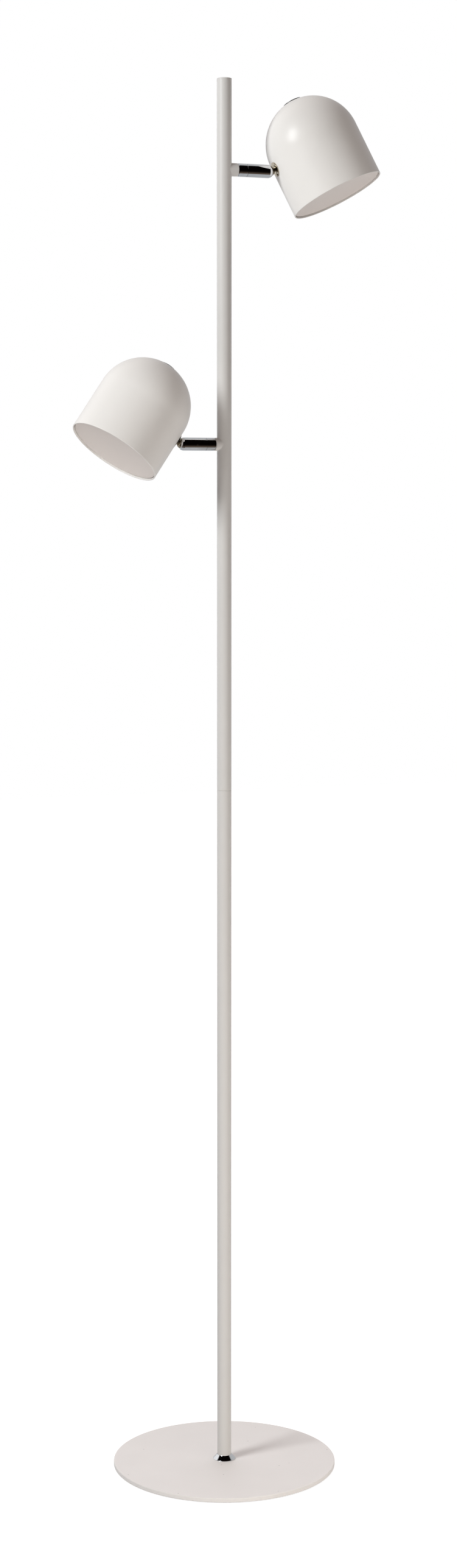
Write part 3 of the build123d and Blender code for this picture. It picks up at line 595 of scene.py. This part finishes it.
joints = {joint["name"]: joint for joint in frame["joints"]}
arm_places = {}
for side in SIDES:
    tilt = joints[f"{side}_ball_tilt"]
    turning = joints[f"{side}_head_turn"]
    ball = Vector(tilt["pos_m"])
    across = Vector(tilt["axis"])
    arm_axis = Vector(joints[f"{side}_arm_swivel"]["axis"])
    stub_end = ball - arm_axis * BALL_AT * MM
    stud = axes(ball, Vector(turning["axis"]), -across)
    turned = Matrix.Rotation(-radians(sum(turning["range_deg"]) / 2), 4, "X")
    to_rim = Matrix.Translation((STUD_TO_HEAD_AXIS * MM, 0, -STUD_HEIGHT * MM))
    arm_places[side] = {
        "arm": axes(stub_end, arm_axis, Vector((0, 0, 1)).cross(arm_axis)) @ LATHE_TO_ARM,
        "barrel": axes(stub_end, arm_axis, -across) @ LATHE_TO_ARM,
        "stud": stud @ LATHE_TO_ARM,
        "flange": stud @ turned @ LATHE_TO_ARM,
        "head": stud @ turned @ to_rim,
        "reach": stub_end.xy.length / MM,
    }


# Stubs. Short steel bars welded to the pole and painted with it; the paint runs into a small
# fillet round the root, and the outer edge is rounded over.
ARM_RADIUS = 7.0
STUB_BORE_RADIUS = 4.0
STUB_ROUND = 0.55
STUB_END_BAND = 0.6
ROOT_FILLET = [(7.55, 0.0), (7.24, 0.14), (7.08, 0.40), (7.0, 0.85)]
ROOT_REACH = 0.9

for side in SIDES:
    reach = arm_places[side]["reach"]
    stub = turn(f"{side}_painted_stub", [
        (STUB_BORE_RADIUS, POLE_RADIUS), *[(radius, POLE_RADIUS + rise) for radius, rise in ROOT_FILLET],
        (ARM_RADIUS, reach - STUB_ROUND - STUB_END_BAND),
        *arc((ARM_RADIUS - STUB_ROUND, reach - STUB_ROUND), STUB_ROUND, 0, 90, 6),
        (STUB_BORE_RADIUS, reach), (STUB_BORE_RADIUS, POLE_RADIUS),
    ], segments=128)
    seat_on_tube(stub, 0, POLE_RADIUS, 0, POLE_RADIUS + ROOT_REACH)
    at_pole = arm_places[side]["arm"] @ Matrix.Translation((0, 0, -reach * MM))
    fit(stub, "stand", shaded_satin_paint, [f"{side}_stub"], at_pole)


# Arm sleeves. Turned steel, chrome plated, screwed to the stubs. A shadow groove parts each from
# the paint, and its long spigot carries the barrel.
SLEEVE_END = 10.5
SHADOW_GROOVE_WIDTH = 0.7
SHADOW_GROOVE_RADIUS = 6.3
BREAK_DEPTH = 0.07
BREAK_LENGTH = 0.25
SPIGOT_RADIUS = 5.14
SPIGOT_END = 29.3
SPIGOT_BORE_RADIUS = 2.6
NIPPLE_SOCKET = 6.0
GRUB_AT = 22.0
GRUB_GROOVE = (21.0, 23.0)
GRUB_GROOVE_RADIUS = 4.24

for side in SIDES:
    sleeve = turn(f"{side}_chrome_sleeve", [
        (STUB_BORE_RADIUS, 0), (SHADOW_GROOVE_RADIUS, 0), (SHADOW_GROOVE_RADIUS, SHADOW_GROOVE_WIDTH),
        (ARM_RADIUS - BREAK_DEPTH, SHADOW_GROOVE_WIDTH), (ARM_RADIUS, SHADOW_GROOVE_WIDTH + BREAK_LENGTH),
        (ARM_RADIUS, SLEEVE_END - BREAK_LENGTH), (ARM_RADIUS - BREAK_DEPTH, SLEEVE_END),
        (SPIGOT_RADIUS, SLEEVE_END), (SPIGOT_RADIUS, GRUB_GROOVE[0]),
        (GRUB_GROOVE_RADIUS, GRUB_GROOVE[0]), (GRUB_GROOVE_RADIUS, GRUB_GROOVE[1]),
        (SPIGOT_RADIUS, GRUB_GROOVE[1]), (SPIGOT_RADIUS, SPIGOT_END), (SPIGOT_BORE_RADIUS, SPIGOT_END),
        (SPIGOT_BORE_RADIUS, NIPPLE_SOCKET), (STUB_BORE_RADIUS, NIPPLE_SOCKET), (STUB_BORE_RADIUS, 0),
    ], segments=128)
    fit(sleeve, "stand", chrome, [f"{side}_arm_sleeve"], arm_places[side]["arm"])


# Joint barrels. They turn on the spigots, each held by a small set screw, and their bevelled noses
# keep the balls in.
BARREL_START = 10.8
BARREL_BORE_RADIUS = 5.2
BARREL_RINGS = (16, 20, 24)
SHOULDER = 36.7
SHOULDER_EASING = ((0, -0.3), (-0.03, 0), (-0.12, 0.3))
BEVEL_AT = 38.9
BEVEL_RADIUS = 6.3
BEVEL_EASING = ((0.08, -0.25), (-0.12, 0.2))
NOSE_END = 40.4
NOSE_RADIUS = 5.2
NOSE_EASING = ((0.12, -0.2), (-0.06, 0))
SOCKET_RADIUS = 4.81
SOCKET_DEPTH = 35.7
SOCKET_RINGS = (1.0, 0.5, 0)
GRUB_HOLE_RADIUS = 1.0
THROUGH_BARREL_WALL = (4, 9)
GRUB_TURN = radians(-12.0)
LATHE_SIDEWAYS = Matrix.Rotation(-pi / 2, 4, "X")


def eased(radius, height, easing):
    """Points round a softened corner, each shifted (outwards, upwards) from the sharp one."""
    return [(radius + out, height + up) for out, up in easing]


mouth_lip = NOSE_END - BALL_AT
grub_turned = Matrix.Rotation(GRUB_TURN, 4, "Z") @ LATHE_SIDEWAYS
grub_place = Matrix.Translation((0, 0, GRUB_AT * MM)) @ grub_turned
for side in SIDES:
    barrel = turn(f"{side}_chrome_barrel", [
        (BARREL_BORE_RADIUS, BARREL_START), (ARM_RADIUS - BREAK_DEPTH, BARREL_START),
        (ARM_RADIUS, BARREL_START + BREAK_LENGTH), *[(ARM_RADIUS, ring) for ring in BARREL_RINGS],
        *eased(ARM_RADIUS, SHOULDER, SHOULDER_EASING), *eased(BEVEL_RADIUS, BEVEL_AT, BEVEL_EASING),
        *eased(NOSE_RADIUS, NOSE_END, NOSE_EASING),
        *[(sqrt(SOCKET_RADIUS**2 - rise**2), BALL_AT + rise) for rise in (mouth_lip, *SOCKET_RINGS)],
        (SOCKET_RADIUS, SOCKET_DEPTH), (BARREL_BORE_RADIUS, SOCKET_DEPTH),
        (BARREL_BORE_RADIUS, BARREL_START),
    ], segments=128)
    drill(barrel, GRUB_HOLE_RADIUS, *THROUGH_BARREL_WALL, grub_place)
    fit(barrel, f"{side}_barrel", chrome, [f"{side}_joint_barrel"], arm_places[side]["barrel"])


# Ball seats. Acetal cups inside the barrels. Dished springs press them against the backs of the
# balls, whose friction holds the heads where they are set.
ACETAL = {"Colour": (0.80, 0.80, 0.77, 1), "Grain": 400.0, "Roughness": 0.35, "Mottle": 0.04,
          "Specks": 0.0}

acetal = finish_of("acetal", paint_skin, ACETAL, relief=0.005)
clad(of_both_heads(["ball_seat"]), acetal)


# Ball studs. Turned brass, nickel plated: a ball, a short neck, a collar that stops at the flange,
# and a hollow shank that goes through the shade.
NICKEL = {"Colour": (0.45, 0.39, 0.30, 1), "Smear": 0.08, "Roughness": 0.12}
BALL_RADIUS = 4.75
NECK_RADIUS = 2.2
STUD_BORE_RADIUS = 1.3
STUD_COLLAR = (4.95, 5.45)
STUD_COLLAR_RADIUS = 4.6
STUD_COLLAR_BREAK = 0.15
SHANK_RADIUS = 4.0
SHANK_END = 15.3
SHANK_BREAK = 0.4
BALL_STEPS = 24
BALL_FOOT = -74
BALL_SWEEP = 136

nickel = finish_of("nickel", metal_skin, NICKEL, relief=0.002, Metallic=1.0)
bore_edge = -sqrt(BALL_RADIUS**2 - STUD_BORE_RADIUS**2)
neck_edge = sqrt(BALL_RADIUS**2 - NECK_RADIUS**2)
ball_angles = [radians(BALL_FOOT + BALL_SWEEP * step / BALL_STEPS) for step in range(1, BALL_STEPS)]
ball_rises = [BALL_RADIUS * sin(angle) for angle in ball_angles]
for side in SIDES:
    stud = turn(f"{side}_nickel_stud", [
        (STUD_BORE_RADIUS, bore_edge), *[(sqrt(BALL_RADIUS**2 - rise**2), rise) for rise in ball_rises],
        (NECK_RADIUS, neck_edge), (NECK_RADIUS, STUD_COLLAR[0]),
        (STUD_COLLAR_RADIUS - STUD_COLLAR_BREAK, STUD_COLLAR[0]),
        (STUD_COLLAR_RADIUS, STUD_COLLAR[0] + STUD_COLLAR_BREAK),
        (STUD_COLLAR_RADIUS, STUD_COLLAR[1] - STUD_COLLAR_BREAK),
        (STUD_COLLAR_RADIUS - STUD_COLLAR_BREAK, STUD_COLLAR[1]), (SHANK_RADIUS, STUD_COLLAR[1]),
        (SHANK_RADIUS, SHANK_END - SHANK_BREAK), (SHANK_RADIUS - SHANK_BREAK, SHANK_END),
        (STUD_BORE_RADIUS, SHANK_END), (STUD_BORE_RADIUS, bore_edge),
    ], segments=96)
    fit(stud, f"{side}_stud", nickel, [f"{side}_ball_stud"], arm_places[side]["stud"])


# Shades. Spun aluminium bullets in a smoother coat than the pole's: a straight skirt that widens
# very slightly to the rim, a domed end, and a small flat at the apex with a hole for the touch disc.
RIM_RADIUS = 52.0
DOME_RADIUS = 51.8
SKIRT_HEIGHT = 61.0
SHADE_WALL = 1.2
RIM_ROUND = 0.5
RIM_INNER_EASING = ((0, 0.2), (0.06, 0.06), (0.2, 0))
APEX_FLAT_RADIUS = 10.6
APEX_HOLE_RADIUS = 8.6
SKIRT_RINGS = (6, 15, 25, 35, 44, 49, 52.8, 56.6)
DOME_RINGS = 48
LAST_RING_GAP = 0.2
SHANK_CLEARANCE = 0.06
THROUGH_SHADE_WALL = (4, 12)
SHADE_PAINT = {"Colour": (0.710, 0.695, 0.667, 1), "Grain": 300.0, "Roughness": 0.31, "Mottle": 0.025,
               "Specks": 0.0}


def skirt_radius(height):
    """Outer radius of the skirt at a height over the rim."""
    return RIM_RADIUS - (RIM_RADIUS - DOME_RADIUS) * height / SKIRT_HEIGHT


def dome(radius, last_radius):
    """Points of the domed end from its spring line up to where it is as narrow as last_radius."""
    half_rings = DOME_RINGS * 2
    angles = [pi / 2 * step / half_rings for step in range(1, half_rings, 2)]
    points = [(radius * cos(angle), SKIRT_HEIGHT + radius * sin(angle)) for angle in angles]
    points = [point for point in points if point[0] > last_radius + LAST_RING_GAP]
    return points + [(last_radius, SKIRT_HEIGHT + sqrt(radius**2 - last_radius**2))]


shade_paint = finish_of("shade_paint", paint_skin, SHADE_PAINT, relief=0.014,
                        Specular_IOR_Level=PAINT_GLOSS)
inner_rim = eased(RIM_RADIUS - SHADE_WALL, 0, RIM_INNER_EASING)
outer_dome = dome(DOME_RADIUS, APEX_FLAT_RADIUS)
inner_dome = dome(DOME_RADIUS - SHADE_WALL, APEX_HOLE_RADIUS)
apex_height = outer_dome[-1][1]
for side in SIDES:
    shade = turn(f"{side}_spun_shade", [
        *inner_rim, *arc((RIM_RADIUS - RIM_ROUND, RIM_ROUND), RIM_ROUND, -90, 0),
        *[(skirt_radius(height), height) for height in SKIRT_RINGS],
        (DOME_RADIUS, SKIRT_HEIGHT), *outer_dome, (APEX_HOLE_RADIUS, apex_height), *reversed(inner_dome),
        (DOME_RADIUS - SHADE_WALL, SKIRT_HEIGHT),
        *[(skirt_radius(height) - SHADE_WALL, height) for height in reversed(SKIRT_RINGS)],
        inner_rim[0],
    ], segments=256)
    stud_hole = Matrix.Translation((-STUD_TO_HEAD_AXIS * MM, 0, STUD_HEIGHT * MM)) @ LATHE_TO_ARM
    drill(shade, SHANK_RADIUS + SHANK_CLEARANCE, *THROUGH_SHADE_WALL, stud_hole)
    fit(shade, f"{side}_head", shade_paint, [f"{side}_shade"],
        arm_places[side]["head"])


# Flanges. Nickelled washers, their backs saddled to the shades, which the studs pass through. A
# small slotted screw keeps each from turning.
FLANGE_FACE = 5.5
FLANGE_RADIUS = 8.0
FLANGE_BREAK = 0.3
FLANGE_BACK = 6.34

flange_bore_radius = SHANK_RADIUS + SHANK_CLEARANCE
shade_side = skirt_radius(STUD_HEIGHT)
for side in SIDES:
    flange = turn(f"{side}_flange", [
        (flange_bore_radius, FLANGE_FACE), (FLANGE_RADIUS - FLANGE_BREAK, FLANGE_FACE),
        (FLANGE_RADIUS, FLANGE_FACE + FLANGE_BREAK), (FLANGE_RADIUS, FLANGE_BACK),
        (flange_bore_radius, FLANGE_BACK), (flange_bore_radius, FLANGE_FACE),
    ], segments=96)
    seat_on_tube(flange, STUD_TO_HEAD_AXIS, shade_side, FLANGE_BACK - SEAT_REACH, FLANGE_BACK + SEAT_REACH)
    fit(flange, f"{side}_head", nickel, [f"{side}_flange_washer"], arm_places[side]["flange"])
clad(of_both_heads(["flange_screw"]), nickel)


# Diffusers. Opal acrylic lids pressed up inside the rims, their faces a little dished, with a
# skirt that snaps behind the shade's wall. Their grey colour is painted shade: it stands in for
# the dark inside of the head showing through the opal.
OPAL_WITH_PAINTED_SHADE = {"Colour": (0.67, 0.62, 0.58, 1), "Grain": 160.0, "Roughness": 0.42, "Mottle": 0.03,
        "Specks": 0.0}
DIFFUSER_FACE = 1.8
DIFFUSER_BACK = 3.8
DIFFUSER_DISH = 3.5
DIFFUSER_SKIRT_END = 13.8
DIFFUSER_ROUND = 0.6
DIFFUSER_GAP = 0.5
DIFFUSER_WALL = 1.5
DISH_RINGS = 12


def dished(edge_radius, edge_height):
    """Points of a face dished upwards, from near its centre out to its edge."""
    curve = (edge_radius**2 + DIFFUSER_DISH**2) / (2 * DIFFUSER_DISH)
    centre = edge_height + DIFFUSER_DISH - curve
    radii = [edge_radius * ring / DISH_RINGS for ring in range(1, DISH_RINGS + 1)]
    return [(radius, centre + sqrt(curve**2 - radius**2)) for radius in radii]


opal = finish_of("opal", paint_skin, OPAL_WITH_PAINTED_SHADE, relief=0.01)
diffuser_radius = RIM_RADIUS - SHADE_WALL - DIFFUSER_GAP
dish_radius = diffuser_radius - DIFFUSER_WALL
for side in SIDES:
    diffuser = turn(f"{side}_opal_lid", [
        *dished(dish_radius, DIFFUSER_FACE),
        *arc((diffuser_radius - DIFFUSER_ROUND, DIFFUSER_FACE + DIFFUSER_ROUND), DIFFUSER_ROUND, -90, 0),
        (diffuser_radius, DIFFUSER_SKIRT_END), (dish_radius, DIFFUSER_SKIRT_END),
        *reversed(dished(dish_radius, DIFFUSER_BACK)),
    ], segments=192)
    fit(diffuser, f"{side}_head", opal, [f"{side}_diffuser"], arm_places[side]["head"])


# Inside the heads. A white moulded reflector, the LED board on a cast heat sink, and the driver
# board with its touch dimmer.
REFLECTOR = {"Colour": (0.86, 0.86, 0.86, 1), "Grain": 200.0, "Roughness": 0.5, "Mottle": 0.02,
             "Specks": 0.0}
ALUMINIUM = {"Colour": (0.66, 0.66, 0.67, 1), "Smear": 0.18, "Roughness": 0.42}
BOARD = {"Colour": (0.03, 0.11, 0.06, 1), "Grain": 900.0, "Roughness": 0.45, "Mottle": 0.25,
         "Specks": 0.0}

reflector_white = finish_of("reflector_white", paint_skin, REFLECTOR, relief=0.01)
bare_aluminium = finish_of("bare_aluminium", metal_skin, ALUMINIUM, relief=0.03, Metallic=1.0)
circuit_board = finish_of("circuit_board", paint_skin, BOARD, relief=0.02)
clad(of_both_heads(["reflector"]), reflector_white)
clad(of_both_heads(["heat_sink"]), bare_aluminium)
clad(of_both_heads(["led_board", "driver_board"]), circuit_board)


# Touch dimmers. A satin chromed disc, a little crowned, on a moulded gasket at each apex; its stem
# goes through the hole to the driver.
SATIN_CHROME = {"Colour": (0.24, 0.24, 0.235, 1), "Smear": 0.08, "Roughness": 0.34}
GASKET_THICKNESS = 0.5
GASKET_RADIUS = 10.5
GASKET_PLUG_DEPTH = 4.0
GASKET_ROUND = 0.15
DISC_RADIUS = 10.3
DISC_THICKNESS = 1.2
DISC_EDGE = 0.45
DISC_CROWN_RINGS = 8
STEM_RADIUS = 2.0
STEM_LENGTH = 14.0

gasket_top = apex_height + GASKET_THICKNESS
gasket_plug_end = apex_height - GASKET_PLUG_DEPTH
crown_height = DISC_THICKNESS - DISC_EDGE
crown_angles = [pi / 2 * ring / DISC_CROWN_RINGS for ring in range(DISC_CROWN_RINGS)]
crown = [(DISC_RADIUS * cos(angle), gasket_top + DISC_EDGE + crown_height * sin(angle) ** 2)
         for angle in crown_angles]
satin_chrome = finish_of("satin_chrome", metal_skin, SATIN_CHROME, relief=0.002, Metallic=1.0)
for side in SIDES:
    gasket = turn(f"{side}_gasket", [
        (STEM_RADIUS, gasket_top),
        *arc((GASKET_RADIUS - GASKET_ROUND, gasket_top - GASKET_ROUND), GASKET_ROUND, 90, 0, 3),
        (GASKET_RADIUS, apex_height), (APEX_HOLE_RADIUS, apex_height),
        (APEX_HOLE_RADIUS, gasket_plug_end), (STEM_RADIUS, gasket_plug_end),
        (STEM_RADIUS, gasket_top),
    ], segments=96)
    fit(gasket, f"{side}_head", black_plastic, [f"{side}_touch_gasket"],
        arm_places[side]["head"])
    touch = turn(f"{side}_touch_button", [
        (STEM_RADIUS, gasket_top - STEM_LENGTH), (STEM_RADIUS, gasket_top), (DISC_RADIUS, gasket_top),
        *crown,
    ], segments=96)
    fit(touch, f"{side}_head", satin_chrome, [f"{side}_touch_disc"], arm_places[side]["head"])
